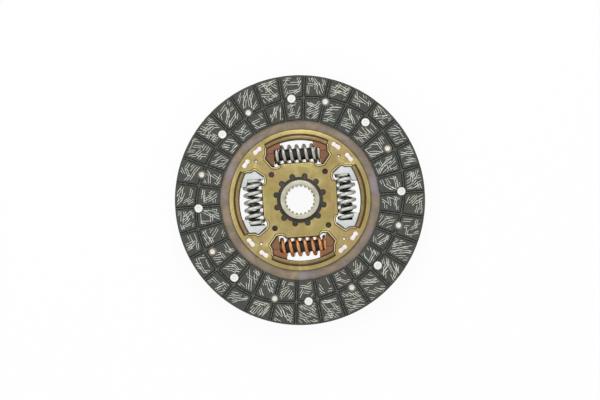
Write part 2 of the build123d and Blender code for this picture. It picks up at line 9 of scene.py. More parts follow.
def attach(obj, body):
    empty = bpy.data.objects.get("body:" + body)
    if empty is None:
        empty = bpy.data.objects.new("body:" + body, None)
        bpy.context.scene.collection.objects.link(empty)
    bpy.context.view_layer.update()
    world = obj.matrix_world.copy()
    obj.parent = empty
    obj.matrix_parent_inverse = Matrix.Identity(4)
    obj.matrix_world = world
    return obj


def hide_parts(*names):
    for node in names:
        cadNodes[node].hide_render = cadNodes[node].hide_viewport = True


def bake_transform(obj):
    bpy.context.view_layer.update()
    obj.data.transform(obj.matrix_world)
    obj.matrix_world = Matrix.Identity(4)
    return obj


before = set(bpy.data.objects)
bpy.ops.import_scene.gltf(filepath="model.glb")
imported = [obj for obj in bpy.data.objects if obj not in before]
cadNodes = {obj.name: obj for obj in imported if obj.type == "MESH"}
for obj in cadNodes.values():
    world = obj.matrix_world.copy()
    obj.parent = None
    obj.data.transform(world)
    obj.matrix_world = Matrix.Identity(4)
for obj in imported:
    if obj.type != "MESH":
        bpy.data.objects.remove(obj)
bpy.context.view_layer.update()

mm = 0.001
scene = bpy.context.scene
windowTurns = {"top": 0, "left": 90, "bottom": 180, "right": 270}  # degrees round the axis, from +Y


# small helpers

def srgb(*colour):
    shares = [value / 255 for value in colour]
    return (*(share / 12.92 if share <= 0.04045 else ((share + 0.055) / 1.055) ** 2.4 for share in shares), 1.0)


def polar(radius, degrees, height=0.0):
    turn = math.radians(degrees)
    return Vector((radius * math.cos(turn), radius * math.sin(turn), height))


def rework(mesh, change):
    work = bmesh.new()
    work.from_mesh(mesh)
    change(work)
    work.to_mesh(mesh)
    work.free()


def meshFrom(name, build):
    mesh = bpy.data.meshes.new(name)
    rework(mesh, build)
    return mesh


def wallBetween(work, first, second, material=0):  # faces between two loops of points, or a loop and one point
    count = max(len(first), len(second))
    for step in range(count):
        after = (step + 1) % count
        places = ((first, step), (first, after), (second, after), (second, step))
        corners = dict.fromkeys(loop[place % len(loop)] for loop, place in places)
        work.faces.new(list(corners)).material_index = material


def addPiece(name, mesh, *materials):
    piece = bpy.data.objects.new(name, mesh)
    scene.collection.objects.link(piece)
    for material in materials:
        piece.data.materials.append(material)
    return piece


def setAll(thing, settings):
    for key, value in settings.items():
        setattr(thing, key, value)


def addModifier(piece, kind, **settings):
    modifier = piece.modifiers.new(kind.lower(), kind)
    setAll(modifier, settings)
    return modifier


def appliedMesh(piece):
    piece.update_tag()
    graph = bpy.context.evaluated_depsgraph_get()
    mesh = bpy.data.meshes.new_from_object(piece.evaluated_get(graph))
    mesh.name = piece.name
    return mesh


def applyModifiers(piece):
    mesh = appliedMesh(piece)
    piece.modifiers.clear()
    piece.data = mesh


def shadeByAngle(mesh, degrees):
    def shade(work):
        for face in work.faces:
            face.smooth = True
        for edge in work.edges:
            edge.smooth = len(edge.link_faces) == 2 and edge.calc_face_angle(0) < math.radians(degrees)

    rework(mesh, shade)


def removeAll(*pieces):
    for piece in pieces:
        bpy.data.objects.remove(piece)


def standFor(piece, body, slot, *nodeNames):
    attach(piece, body)
    if nodeNames:
        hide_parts(*nodeNames)


# node helpers, used for materials and for Geometry Nodes

def addNode(tree, kind, inputs=None, **settings):
    node = tree.nodes.new(kind)
    setAll(node, settings)
    for key, value in (inputs or {}).items():
        if isinstance(value, bpy.types.NodeSocket):
            tree.links.new(value, node.inputs[key])
        else:
            node.inputs[key].default_value = value
    return node


def madeBy(tree, kind, inputs=None, **settings):  # a new node's first output
    return addNode(tree, kind, inputs, **settings).outputs[0]


def newMaterial(name):
    material = bpy.data.materials.new(name)
    material.use_nodes = True
    tree = material.node_tree
    coords = addNode(tree, "ShaderNodeTexCoord").outputs["Object"]
    return material, tree, tree.nodes["Principled BSDF"], coords


def noise(tree, coords, scale, detail=2.0, roughness=0.5, distortion=0.0):
    inputs = {"Vector": coords, "Scale": scale, "Detail": detail, "Roughness": roughness, "Distortion": distortion}
    return addNode(tree, "ShaderNodeTexNoise", inputs).outputs["Fac"]


def math2(tree, operation, first, second=0.0):
    return madeBy(tree, "ShaderNodeMath", {0: first, 1: second}, operation=operation)


def times(tree, first, second):
    return math2(tree, "MULTIPLY", first, second)


def vector2(tree, operation, first, second):
    return madeBy(tree, "ShaderNodeVectorMath", {0: first, 1: second}, operation=operation)


def ramp(tree, factor, stops):
    node = addNode(tree, "ShaderNodeValToRGB", {"Fac": factor})
    elements = node.color_ramp.elements
    elements[0].position, elements[0].color = stops[0]
    elements[1].position, elements[1].color = stops[-1]
    for position, colour in stops[1:-1]:
        elements.new(position).color = colour
    return node.outputs["Color"]


def colourRamp(tree, factor, colours, start, step):
    return ramp(tree, factor, [(start + step * place, srgb(*colour)) for place, colour in enumerate(colours)])


def grey(value):
    return (value, value, value, 1.0)


def mixColour(tree, factor, first, second, blend="MIX"):
    node = addNode(tree, "ShaderNodeMix", {0: factor, 6: first, 7: second}, data_type="RGBA", blend_type=blend)
    return node.outputs[2]


def shadedBy(tree, colour, texture, darkest, palest=1.0, start=0.3, end=0.7):
    shades = ramp(tree, texture, [(start, grey(darkest)), (end, grey(palest))])
    return mixColour(tree, 1.0, colour, shades, "MULTIPLY")


def stained(tree, base, texture, start, end, strength, colour):  # patches of a second colour
    patches = ramp(tree, texture, [(start, grey(0)), (end, grey(strength))])
    return mixColour(tree, patches, base, srgb(*colour))


def connect(tree, socket, shader, name):
    tree.links.new(socket, shader.inputs[name])


def paint(tree, shader, colour, texture, smoothest, roughest):
    connect(tree, colour, shader, "Base Color")
    inputs = {"Value": texture, "To Min": smoothest, "To Max": roughest}
    connect(tree, madeBy(tree, "ShaderNodeMapRange", inputs), shader, "Roughness")


def addBump(tree, shader, height, strength, distance):
    inputs = {"Height": height, "Strength": strength, "Distance": distance}
    connect(tree, addNode(tree, "ShaderNodeBump", inputs).outputs["Normal"], shader, "Normal")


# materials

def mottledMaterial(name, look):
    material, tree, shader, coords = newMaterial(name)
    shader.inputs["Metallic"].default_value = look.get("metallic", 0.0)
    shader.inputs["Specular IOR Level"].default_value = look.get("specular", 0.5)
    coarse = noise(tree, vector2(tree, "MULTIPLY", coords, look.get("stretch", (1, 1, 1))), look["scale"], 4, 0.6)
    base = colourRamp(tree, coarse, look["colours"], 0.3, 0.2)
    fine = noise(tree, coords, look.get("fineScale", 900), 3, 0.6)
    shaded = shadedBy(tree, base, fine, 1 - look.get("fineShade", 0.2), start=0.25, end=0.75)
    paint(tree, shader, shaded, fine, *look.get("roughness", (0.4, 0.6)))
    if look.get("bump"):
        addBump(tree, shader, fine, look["bump"], 0.1 * mm)
    return material


def goldMaterial(name, look):
    material, tree, shader, coords = newMaterial(name)
    shader.inputs["Metallic"].default_value = look["metallic"]
    clouds = noise(tree, coords, 48, 5, 0.62, 1.2)
    shades = [srgb(*colour) for colour in look["colours"]]
    base = ramp(tree, clouds, list(zip((0.28, 0.5, 0.7), shades)))
    greenNoise = noise(tree, vector2(tree, "MULTIPLY", coords, (1, 1, 0.2)), 26, 3, 0.5, 0.8)
    base = stained(tree, base, greenNoise, 0.5, 0.66, look["tint"], look["green"])
    pinkNoise = noise(tree, vector2(tree, "MULTIPLY", coords, (1.3, 0.9, 0.2)), 38, 3, 0.5, 1.5)
    base = stained(tree, base, pinkNoise, 0.52, 0.7, look["tint"], look["pink"])
    fine = noise(tree, coords, 900, 3, 0.6)
    base = shadedBy(tree, base, fine, 0.88)
    paint(tree, shader, base, clouds, 0.2, 0.4)
    addBump(tree, shader, fine, 0.06, 0.1 * mm)
    return material


def heatTintMaterial(name, look):
    material, tree, shader, coords = newMaterial(name)
    shader.inputs["Metallic"].default_value = 0.6
    clouds = noise(tree, coords, 30, 4, 0.6, 1.0)
    base = colourRamp(tree, clouds, look["colours"], 0.3, 0.12)
    base = stained(tree, base, noise(tree, coords, 44, 3, 0.55, 0.6), 0.5, 0.68, 0.7, look["lilac"])
    base = shadedBy(tree, base, noise(tree, coords, 700, 3, 0.6), 0.86)
    paint(tree, shader, base, clouds, 0.36, 0.5)
    return material


def facingMaterial(name, look):
    material, tree, shader, coords = newMaterial(name)
    shade = addNode(tree, "ShaderNodeAttribute", attribute_name="shade").outputs["Fac"]
    tone = colourRamp(tree, shade, look["colours"], 0.0, 0.5)
    weave = noise(tree, coords, 420, 5, 0.7, 0.4)
    tone = shadedBy(tree, tone, weave, 0.62, 1.12)
    specks = noise(tree, coords, 1500, 2, 0.5)
    start = look["fleckStart"]
    tone = stained(tree, tone, specks, start, start + 0.05, look["fleck"], look["fleckColour"])
    connect(tree, tone, shader, "Base Color")
    shader.inputs["Roughness"].default_value = 0.78
    shader.inputs["Specular IOR Level"].default_value = 0.3
    addBump(tree, shader, weave, 0.35, 0.15 * mm)
    return material


def seatMaterial(name, look):
    material, tree, shader, coords = newMaterial(name)
    outward = math2(tree, "ABSOLUTE", addNode(tree, "ShaderNodeSeparateXYZ", {0: coords}).outputs[1])
    inputs = {"Value": outward, "From Min": look["division"] - mm, "From Max": look["division"] + mm}
    share = madeBy(tree, "ShaderNodeMapRange", inputs)
    nose, line, hood = [srgb(*look[part]) for part in ("nose", "line", "hood")]
    base = ramp(tree, share, [(0.2, nose), (0.4, line), (0.62, line), (0.8, hood)])
    base = shadedBy(tree, base, noise(tree, coords, 95, 4, 0.6), 0.84, 1.08)
    fine = noise(tree, coords, 900, 3, 0.6)
    base = shadedBy(tree, base, fine, 0.9)
    paint(tree, shader, base, fine, 0.35, 0.55)
    addBump(tree, shader, fine, 0.1, 0.1 * mm)
    return material


def yarnMaterial(name, look):
    material, tree, shader, coords = newMaterial(name)
    along = noise(tree, coords, 260, 4, 0.65)
    tone = colourRamp(tree, along, look["colours"], 0.3, 0.13)
    connect(tree, tone, shader, "Base Color")
    shader.inputs["Roughness"].default_value = 0.5
    shader.inputs["Specular IOR Level"].default_value = 0.4
    return material


looks = {
    facingMaterial: {
        "facingSurface": {
            "fleckStart": 0.66, "fleck": 0.35, "fleckColour": (150, 155, 145),
            "colours": [(83, 82, 75), (80, 81, 76), (78, 82, 77)]},
        "grooveFloor": {
            "fleckStart": 0.6, "fleck": 0.6, "fleckColour": (176, 180, 168),
            "colours": [(84, 83, 77), (80, 81, 76), (78, 82, 78)]},
    },
    yarnMaterial: {
        "glassYarn": {"colours": [(186, 188, 174), (226, 228, 214), (238, 240, 228), (246, 248, 238)]},
    },
    heatTintMaterial: {
        "temperedSteel": {
            "colours": [(168, 147, 114), (150, 134, 112), (130, 118, 105), (156, 138, 115)],
            "lilac": (152, 144, 154)},
    },
    seatMaterial: {
        "brownResin": {
            "nose": (128, 89, 50), "line": (92, 42, 26), "hood": (146, 92, 52), "division": 48 * mm},
    },
    goldMaterial: {  # plating as it is on flat faces, with painted highlight on the rims' crests, darker on the lips' crests, and with painted shade in their bends
        "goldPlating": {"metallic": 0.8, "tint": 0.5, "colours": [(158, 138, 84), (176, 158, 102), (192, 176, 122)],
            "green": (158, 156, 84), "pink": (184, 142, 102)},
        # painted highlight: a paler copy of the plating for the rims' crests
        "wornGold": {"metallic": 0.8, "tint": 0.3, "colours": [(204, 182, 136), (222, 202, 156), (236, 218, 178)],
            "green": (206, 196, 140), "pink": (222, 190, 150)},
        "lipGold": {"metallic": 0.7, "tint": 0.4, "colours": [(122, 104, 68), (146, 126, 86), (168, 148, 106)],
            "green": (134, 126, 76), "pink": (156, 120, 90)},
        # painted shade: a darker copy of the plating for the sloping faces in the bends
        "bentGold": {"metallic": 0.6, "tint": 0.4, "colours": [(84, 66, 36), (106, 86, 50), (128, 106, 66)],
            "green": (96, 88, 48), "pink": (116, 80, 54)},
    },
    mottledMaterial: {  # colours run from the darkest patches to the palest
        # painted shade: near-black for the facing blocks' sides, bevels and feet, where the grooves lie in shade
        "cutFacingEdge": {"colours": [(8, 9, 8), (14, 15, 13), (22, 22, 20)], "scale": 160, "fineScale": 1200,
            "fineShade": 0.3, "roughness": (0.7, 0.9), "specular": 0.2},
        # painted shade: dark lines in the plates' creases and along their edges
        "darkCrease": {"colours": [(46, 34, 18), (60, 46, 26), (76, 60, 36)], "scale": 120, "metallic": 0.2,
            "roughness": (0.5, 0.7)},
        "brightSpacerSteel": {"colours": [(236, 220, 220), (248, 238, 236), (252, 248, 244)], "scale": 120,
            "fineShade": 0.08, "metallic": 0.2, "roughness": (0.35, 0.5)},
        "hubSteel": {"colours": [(180, 174, 150), (198, 193, 172), (216, 212, 196)], "scale": 90, "fineScale": 1100,
            "fineShade": 0.08, "metallic": 0.8, "roughness": (0.22, 0.36), "stretch": (1, 1, 0.3)},
        "darkSteel": {"colours": [(60, 56, 52), (84, 80, 74), (104, 98, 90)], "scale": 70, "fineScale": 800,
            "metallic": 0.6, "roughness": (0.35, 0.55)},
        "pegSteel": {"colours": [(40, 26, 30), (62, 42, 46), (84, 62, 62)], "scale": 120, "metallic": 0.3},
        "rivetZinc": {"colours": [(240, 240, 234), (248, 248, 243), (253, 253, 250)], "scale": 200,
            "fineScale": 1300, "fineShade": 0.1, "metallic": 0.3, "roughness": (0.3, 0.45)},
        "darkResin": {"colours": [(44, 41, 38), (62, 57, 51), (80, 76, 66)], "scale": 110, "fineScale": 1000,
            "bump": 0.15},
        "frictionResin": {"colours": [(70, 62, 50), (96, 88, 72), (110, 100, 84)], "scale": 150, "fineScale": 1200,
            "fineShade": 0.3, "roughness": (0.6, 0.8)},
        # painted shade: dark lines round the seats, where the gap to the window lies in shade
        "brownResinEdge": {"colours": [(62, 30, 20), (80, 42, 28), (98, 54, 38)], "scale": 95, "fineShade": 0.16},
        "whiteResinEdge": {"colours": [(104, 106, 98), (126, 128, 120), (146, 148, 140)], "scale": 95,
            "fineShade": 0.1},
        "whiteResin": {"colours": [(200, 205, 202), (213, 217, 215), (224, 226, 226)], "scale": 80,
            "fineShade": 0.05, "roughness": (0.35, 0.55), "bump": 0.08},
        "greySpringWire": {"colours": [(160, 158, 149), (180, 178, 167), (199, 196, 186)], "scale": 130,
            "metallic": 0.85, "roughness": (0.2, 0.32)},
        "sideSpringWire": {  # the left and right springs: a paler, less shiny copy of the grey spring wire, painted light for the broad light on their crosswise strands
            "colours": [(186, 189, 182), (206, 208, 200), (222, 223, 216)], "scale": 130, "fineShade": 0.15,
            "metallic": 0.65, "roughness": (0.24, 0.38)},
        "copperSpringWire": {"colours": [(182, 108, 55), (207, 139, 82), (222, 172, 122)], "scale": 130,
            "metallic": 0.7, "roughness": (0.22, 0.36)},
        "innerSpringWire": {"colours": [(30, 30, 29), (42, 42, 41), (58, 58, 56)], "scale": 160, "metallic": 0.5,
            "roughness": (0.3, 0.45)},
        "blackRubber": {"colours": [(24, 23, 22), (34, 33, 31), (46, 44, 42)], "scale": 90, "fineScale": 1200,
            "roughness": (0.5, 0.7), "bump": 0.1},
    },
}
materials = {name: build(name, look) for build, kind in looks.items() for name, look in kind.items()}
print("materials", len(materials))


# Geometry Nodes: each group gets named inputs and ends in Realize Instances and Set Material

def newGroup(name, inputs):  # inputs hold each default, or the kind of thing an input takes
    group = bpy.data.node_groups.new(name, "GeometryNodeTree")
    group.interface.new_socket("Geometry", in_out="INPUT", socket_type="NodeSocketGeometry")
    for inputName, value in inputs.items():
        kind = value if isinstance(value, str) else type(value).__name__.title()
        socket = group.interface.new_socket(inputName, in_out="INPUT", socket_type="NodeSocket" + kind)
        if kind != value:
            socket.default_value = value
    group.interface.new_socket("Geometry", in_out="OUTPUT", socket_type="NodeSocketGeometry")
    return group, group.nodes.new("NodeGroupInput").outputs


def endGroup(group, geometry, material, smooth=False):
    if smooth:
        geometry = madeBy(group, "GeometryNodeSetShadeSmooth", {"Geometry": geometry, "Shade Smooth": True})
    realized = madeBy(group, "GeometryNodeRealizeInstances", {"Geometry": geometry})
    painted = madeBy(group, "GeometryNodeSetMaterial", {"Geometry": realized, "Material": material})
    addNode(group, "NodeGroupOutput", {0: painted})
    return group


def vectorOf(group, x=0.0, y=0.0, z=0.0):
    return madeBy(group, "ShaderNodeCombineXYZ", {0: x, 1: y, 2: z})


def onCircle(group, angle, radius):
    return [times(group, math2(group, part, angle), radius) for part in ("COSINE", "SINE")]


def movedTo(group, geometry, place):
    return madeBy(group, "GeometryNodeSetPosition", {"Geometry": geometry, "Position": place})


def roundWire(group, curve, radius, sides):
    circle = madeBy(group, "GeometryNodeCurvePrimitiveCircle", {"Resolution": sides, "Radius": radius})
    return madeBy(group, "GeometryNodeCurveToMesh", {"Curve": curve, "Profile Curve": circle, "Fill Caps": True})


def heldWithin(group, value, limit):
    return math2(group, "MAXIMUM", math2(group, "MINIMUM", value, limit), times(group, limit, -1))


def shapeOf(group, piece):
    return addNode(group, "GeometryNodeObjectInfo", {"Object": piece}).outputs["Geometry"]


def runGroup(name, group, values, mesh=None):
    piece = addPiece(name, mesh or bpy.data.meshes.new(name))
    modifier = addModifier(piece, "NODES", node_group=group)
    sockets = {item.name: item.identifier for item in group.interface.items_tree if item.in_out == "INPUT"}
    for key, value in values.items():
        modifier[sockets[key]] = value
    applyModifiers(piece)
    return piece


def springGroup():
    group, given = newGroup("coilSpring", {
        "turns": 7.0, "closedTurns": 0.8, "closedPitch": 0.004, "length": 0.046, "meanRadius": 0.008,
        "wireRadius": 0.0018, "phase": 0.0, "hand": 1.0, "pointCount": 250, "wireSides": 14, "material": "Material",
    })
    last = math2(group, "SUBTRACT", given["pointCount"], 1)
    share = math2(group, "DIVIDE", madeBy(group, "GeometryNodeInputIndex"), last)
    turn = times(group, math2(group, "SUBTRACT", share, 0.5), given["turns"])
    halfOpen = math2(group, "SUBTRACT", math2(group, "DIVIDE", given["turns"], 2), given["closedTurns"])
    openPart = heldWithin(group, turn, halfOpen)
    closedLength = times(group, given["closedTurns"], given["closedPitch"])
    openHalfLength = math2(group, "SUBTRACT", math2(group, "DIVIDE", given["length"], 2), closedLength)
    openPitch = math2(group, "DIVIDE", openHalfLength, halfOpen)
    inOpen = times(group, openPart, openPitch)
    inClosed = times(group, math2(group, "SUBTRACT", turn, openPart), given["closedPitch"])
    along = math2(group, "ADD", inOpen, inClosed)
    angle = times(group, times(group, turn, given["hand"]), math.tau)
    angle = math2(group, "ADD", angle, given["phase"])
    place = vectorOf(group, along, *onCircle(group, angle, given["meanRadius"]))
    coil = movedTo(group, madeBy(group, "GeometryNodeMeshLine", {"Count": given["pointCount"]}), place)
    curve = madeBy(group, "GeometryNodeMeshToCurve", {"Mesh": coil})
    solid = roundWire(group, curve, given["wireRadius"], given["wireSides"])
    here = madeBy(group, "GeometryNodeInputPosition")
    parts = addNode(group, "ShaderNodeSeparateXYZ", {0: here}).outputs
    ground = heldWithin(group, parts[0], math2(group, "DIVIDE", given["length"], 2))  # both ends are ground flat
    solid = movedTo(group, solid, vectorOf(group, ground, parts[1], parts[2]))
    return endGroup(group, solid, given["material"], smooth=True)


def circleGroup():
    group, given = newGroup("onCircle", {
        "shape": "Object", "count": 8, "radius": 0.1, "startAngle": 0.0, "material": "Material",
    })
    index = madeBy(group, "GeometryNodeInputIndex")
    step = math2(group, "DIVIDE", math.tau, given["count"])
    angle = math2(group, "ADD", times(group, index, step), given["startAngle"])
    place = vectorOf(group, *onCircle(group, angle, given["radius"]))
    points = madeBy(group, "GeometryNodePoints", {"Count": given["count"], "Position": place})
    placed = madeBy(group, "GeometryNodeInstanceOnPoints", {
        "Points": points, "Instance": shapeOf(group, given["shape"]), "Rotation": vectorOf(group, z=angle)})
    return endGroup(group, placed, given["material"])


yarnPair = {
    "pair": [(-0.5, -0.2, 0.9), (0.5, 0.2, 1.0)],  # place across, place along and length of each strand of a pair
    "points": 18, "sides": 5, "waveScale": 75.0, "waveDetail": 0.3, "thinScale": 320.0, "rayHeight": 0.005,
    "rimLean": 0.35, "slope": (0.35, 0.85), "rimShare": 0.4, "ownLean": 0.3, "lengths": (0.45, 1.15),
}


def yarnGroup():
    group, given = newGroup("yarnStrands", {
        "zone": "Object", "rivets": "Object", "seed": 1, "spacing": 0.003, "density": 40000.0,
        "strandLength": 0.011, "strandGap": 0.0011, "strandRadius": 0.0003, "wiggle": 0.0016,
        "rivetMargin": 0.0052, "thickness": 0.3, "material": "Material",
    })
    zone = shapeOf(group, given["zone"])
    spread = {"Mesh": zone, "Distance Min": given["spacing"], "Density Max": given["density"], "Seed": given["seed"]}
    seeds = madeBy(group, "GeometryNodeDistributePointsOnFaces", spread, distribute_method="POISSON")
    half = math2(group, "DIVIDE", given["strandLength"], 2)
    bundle = group.nodes.new("GeometryNodeJoinGeometry")
    for offset, shift, scale in yarnPair["pair"]:
        middle = times(group, given["strandLength"], shift * 0.5)
        reach = times(group, half, scale)
        side = times(group, given["strandGap"], offset)
        ends = [vectorOf(group, math2(group, way, middle, reach), side) for way in ("SUBTRACT", "ADD")]
        line = madeBy(group, "GeometryNodeCurvePrimitiveLine", {"Start": ends[0], "End": ends[1]})
        strand = madeBy(group, "GeometryNodeResampleCurve", {"Curve": line, "Count": yarnPair["points"]})
        group.links.new(strand, bundle.inputs[0])
    block = madeBy(group, "GeometryNodeInputNamedAttribute", {"Name": "block"}, data_type="INT")
    turn = madeBy(group, "GeometryNodeInputNamedAttribute", {"Name": "turn"}, data_type="FLOAT")

    def randomFloat(low, high, seed, identity=None):
        inputs = {2: low, 3: high, "Seed": seed}
        if identity:
            inputs["ID"] = identity
        return addNode(group, "FunctionNodeRandomValue", inputs, data_type="FLOAT").outputs[1]

    rimLean, ownLean = yarnPair["rimLean"], yarnPair["ownLean"]
    along = math2(group, "ADD", randomFloat(-rimLean, rimLean, 11, block), math.pi / 2)  # along the disc's rim
    way = math2(group, "SIGN", randomFloat(-1.0, 1.0, 17, block))
    across = times(group, way, randomFloat(*yarnPair["slope"], 31, block))  # sloping across the block
    slopes = math2(group, "GREATER_THAN", randomFloat(0.0, 1.0, 23), yarnPair["rimShare"])
    change = times(group, math2(group, "SUBTRACT", across, along), slopes)
    lean = math2(group, "ADD", math2(group, "ADD", along, change), randomFloat(-ownLean, ownLean, 47))
    heading = math2(group, "ADD", turn, lean)
    size = vectorOf(group, randomFloat(*yarnPair["lengths"], 53), 1.0, 1.0)
    placed = madeBy(group, "GeometryNodeInstanceOnPoints", {
        "Points": seeds, "Instance": bundle.outputs[0], "Rotation": vectorOf(group, z=heading), "Scale": size})
    lines = madeBy(group, "GeometryNodeRealizeInstances", {"Geometry": placed})
    here = madeBy(group, "GeometryNodeInputPosition")
    waves = addNode(group, "ShaderNodeTexNoise", {
        "Vector": here, "Scale": yarnPair["waveScale"], "Detail": yarnPair["waveDetail"]}).outputs["Color"]
    waves = vector2(group, "MULTIPLY", vector2(group, "SUBTRACT", waves, (0.5, 0.5, 0.5)), (2.0, 2.0, 0.0))
    waves = madeBy(group, "ShaderNodeVectorMath", {0: waves, "Scale": given["wiggle"]}, operation="SCALE")
    lines = madeBy(group, "GeometryNodeSetPosition", {"Geometry": lines, "Offset": waves})
    wires = madeBy(group, "GeometryNodeCurveToMesh", {"Curve": lines})
    above = vector2(group, "ADD", here, (0.0, 0.0, yarnPair["rayHeight"]))
    ray = addNode(group, "GeometryNodeRaycast", {
        "Target Geometry": zone, "Attribute": block, "Source Position": above,
        "Ray Direction": (0.0, 0.0, -1.0), "Ray Length": 2 * yarnPair["rayHeight"]},
        data_type="INT", mapping="NEAREST")
    below = {socket.name: socket for socket in ray.outputs if socket.enabled}
    away = madeBy(group, "FunctionNodeBooleanMath", {0: below["Is Hit"]}, operation="NOT")
    strayed = madeBy(group, "FunctionNodeCompare", {2: below["Attribute"], 3: block},
                     data_type="INT", operation="NOT_EQUAL")
    toRivet = addNode(group, "GeometryNodeProximity", {"Geometry": shapeOf(group, given["rivets"])},
                      target_element="POINTS").outputs["Distance"]
    nearRivet = math2(group, "LESS_THAN", toRivet, given["rivetMargin"])
    cut = away
    for reason in (strayed, nearRivet):  # off the blocks, on a block not its own, or over a rivet
        cut = madeBy(group, "FunctionNodeBooleanMath", {0: cut, 1: reason}, operation="OR")
    kept = madeBy(group, "GeometryNodeDeleteGeometry", {"Geometry": wires, "Selection": cut}, domain="POINT")
    curves = madeBy(group, "GeometryNodeMeshToCurve", {"Mesh": kept})
    thickness = times(group, noise(group, here, yarnPair["thinScale"], 1.0), 2.0)
    curves = madeBy(group, "GeometryNodeSetCurveRadius", {"Curve": curves, "Radius": thickness})
    solid = roundWire(group, curves, given["strandRadius"], yarnPair["sides"])
    flat = vector2(group, "MULTIPLY", here, vectorOf(group, 1.0, 1.0, given["thickness"]))
    return endGroup(group, movedTo(group, solid, flat), given["material"], smooth=True)


# dark tubes along chosen edges, which stand in for shade
def lineGroup():
    group, given = newGroup("linesOnEdges", {"lineRadius": 0.0003, "lineSides": 8, "material": "Material"})
    curves = madeBy(group, "GeometryNodeMeshToCurve", {"Mesh": given["Geometry"]})
    solid = roundWire(group, curves, given["lineRadius"], given["lineSides"])
    return endGroup(group, solid, given["material"], smooth=True)


groups = {"spring": springGroup(), "circle": circleGroup(), "yarn": yarnGroup(), "lines": lineGroup()}
print("node groups", len(groups))


# friction facings: a grooved ring of 60 blocks, with strands of yarn showing in the ground face of each block

facing = {
    "outerRadius": 125 * mm, "innerRadius": 80 * mm, "thickness": 3.3 * mm, "grooveDepth": 1.1 * mm,
    "grooves": 30, "grooveStart": 0.3, "grooveWidth": 2.4 * mm,
    "ovalLong": 108 * mm, "ovalShort": 98 * mm, "ovalTurn": 38,
    "cornerRadius": 1.6 * mm, "edgeBevel": 0.3 * mm, "edgeFoot": 0.5 * mm, "yarnMargin": 2.0 * mm, "arcPoints": 6,
    "rivetRadius": 101.7 * mm, "rivets": 8, "holeRadius": 4.35 * mm, "shankHoleRadius": 2.1 * mm,
    "seatThickness": 1.5 * mm,
}
facingSides = {  # back is the face on the cushion plate, and way is the direction the facing looks
    "front": {"back": 22.9 * mm, "way": 1, "ownStart": 1.15, "otherStart": -18.1, "seed": 5},
    "rear": {"back": 21.1 * mm, "way": -1, "ownStart": -18.1, "otherStart": 1.15, "seed": 9},
}


def ovalRadius(degrees, offset=0.0):
    turn = math.radians(degrees - facing["ovalTurn"])
    across = (facing["ovalLong"] + offset) * math.sin(turn)
    along = (facing["ovalShort"] + offset) * math.cos(turn)
    return (facing["ovalLong"] + offset) * (facing["ovalShort"] + offset) / math.hypot(across, along)


def sideCorner(grooveAngle, side, radiusAt):
    direction, sideways = polar(1, grooveAngle), polar(1, grooveAngle + 90)
    radius = radiusAt(grooveAngle)
    for _ in range(6):
        point = direction * radius + sideways * side
        degrees = math.degrees(math.atan2(point.y, point.x))
        radius = math.sqrt(max(radiusAt(degrees) ** 2 - side ** 2, 0))
    return direction * radius + sideways * side


def blockOutline(number, outerRow, inset):
    step = 360 / facing["grooves"]
    low = facing["grooveStart"] + step * number
    half = facing["grooveWidth"] / 2
    side = half + inset
    count = facing["arcPoints"]

    def inner(degrees):
        return ovalRadius(degrees, half) + inset if outerRow else facing["innerRadius"] + max(inset, 0)

    def outer(degrees):
        return facing["outerRadius"] - max(inset, 0) if outerRow else ovalRadius(degrees, -half) - inset

    corners = [sideCorner(low, side, outer), sideCorner(low + step, -side, outer),
               sideCorner(low + step, -side, inner), sideCorner(low, side, inner)]
    outline = []
    for first, last, radiusAt in ((corners[0], corners[1], outer), (corners[2], corners[3], inner)):
        start = math.degrees(math.atan2(first.y, first.x))
        sweep = (math.degrees(math.atan2(last.y, last.x)) - start + 180) % 360 - 180
        for place in range(count):
            degrees = start + sweep * place / (count - 1)
            outline.append(polar(radiusAt(degrees), degrees))
    return outline, (0, count - 1, count, 2 * count - 1)


def roundCorners(outline, corners, radius):
    rounded = []
    for place, point in enumerate(outline):
        if place not in corners:
            rounded.append(point)
            continue
        start = point + (outline[place - 1] - point).normalized() * radius
        end = point + (outline[(place + 1) % len(outline)] - point).normalized() * radius
        for step in range(5):
            share = step / 4
            rounded.append(start * (1 - share) ** 2 + point * 2 * share * (1 - share) + end * share ** 2)
    return rounded


def blockBodies(work, floor, top):
    way = 1 if top > floor else -1
    bevel, foot = facing["edgeBevel"], facing["edgeFoot"]
    levels = [(-foot, floor), (0, floor + way * foot), (0, top - way * bevel),
              (0.3 * bevel, top - way * 0.3 * bevel), (bevel, top)]  # inset and height, up the side of a block
    for number in range(facing["grooves"]):
        for outerRow in (True, False):
            rings = []
            for inset, height in levels:
                outline = roundCorners(*blockOutline(number, outerRow, inset), facing["cornerRadius"] - inset)
                rings.append([work.verts.new((point.x, point.y, height)) for point in outline])
            # the sides, bevels and feet of a block take material 1, painted shade for the grooves
            for first, second in zip(rings, rings[1:]):
                wallBetween(work, first, second, material=1)
            work.faces.new(rings[0])
            work.faces.new(rings[-1])
    bmesh.ops.recalc_face_normals(work, faces=work.faces)


def ringBody(work, inner, outer, low, high, steps=240):
    loops = []
    for radius, height in ((inner, low), (outer, low), (outer, high), (inner, high)):
        loops.append([work.verts.new(polar(radius, 360 * step / steps, height)) for step in range(steps)])
    for first, second in zip(loops, loops[1:] + loops[:1]):
        wallBetween(work, first, second)
    bmesh.ops.recalc_face_normals(work, faces=work.faces)


def cylinders(work, places):
    for centre, radius, low, high in places:
        middle = Matrix.Translation((centre.x, centre.y, (low + high) / 2))
        bmesh.ops.create_cone(work, cap_ends=True, segments=40, radius1=radius, radius2=radius,
                              depth=high - low, matrix=middle)


def cutAway(mesh, places):
    piece = addPiece("cutTarget", mesh, None, None)
    cutter = addPiece("cutTool", meshFrom("cutTool", lambda work: cylinders(work, places)))
    addModifier(piece, "BOOLEAN", operation="DIFFERENCE", solver="EXACT", object=cutter)
    result = appliedMesh(piece)
    removeAll(cutter, piece)
    return result


